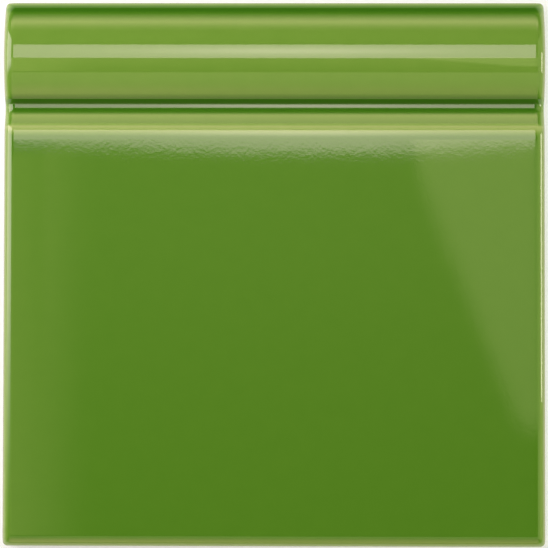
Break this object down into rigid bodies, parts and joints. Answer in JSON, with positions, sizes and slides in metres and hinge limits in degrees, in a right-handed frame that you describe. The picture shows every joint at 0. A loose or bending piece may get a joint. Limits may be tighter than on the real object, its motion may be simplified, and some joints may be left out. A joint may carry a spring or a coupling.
{
  "type": "ceramic skirting tile",
  "caption": "Square glazed earthenware skirting tile with a moulded roll and quirk groove along its top, a flat face, rounded edges and a keyed flat back for bedding on a wall",
  "frame": {"origin": "middle of the back, on the floor that the tile lies on", "axes": "+Z points out of the glazed face, +Y from the foot edge to the moulded top edge, +X across the width, to the right seen from the front with the moulding up"},
  "size_m": [0.152, 0.153, 0.0121],
  "materials": {
    "green_glaze": "glossy green glaze on a pale fired earthenware body, bare on the back"
  },
  "bodies": {
    "root": {"skirting_tile": "green_glaze"}
  },
  "joints": []
}
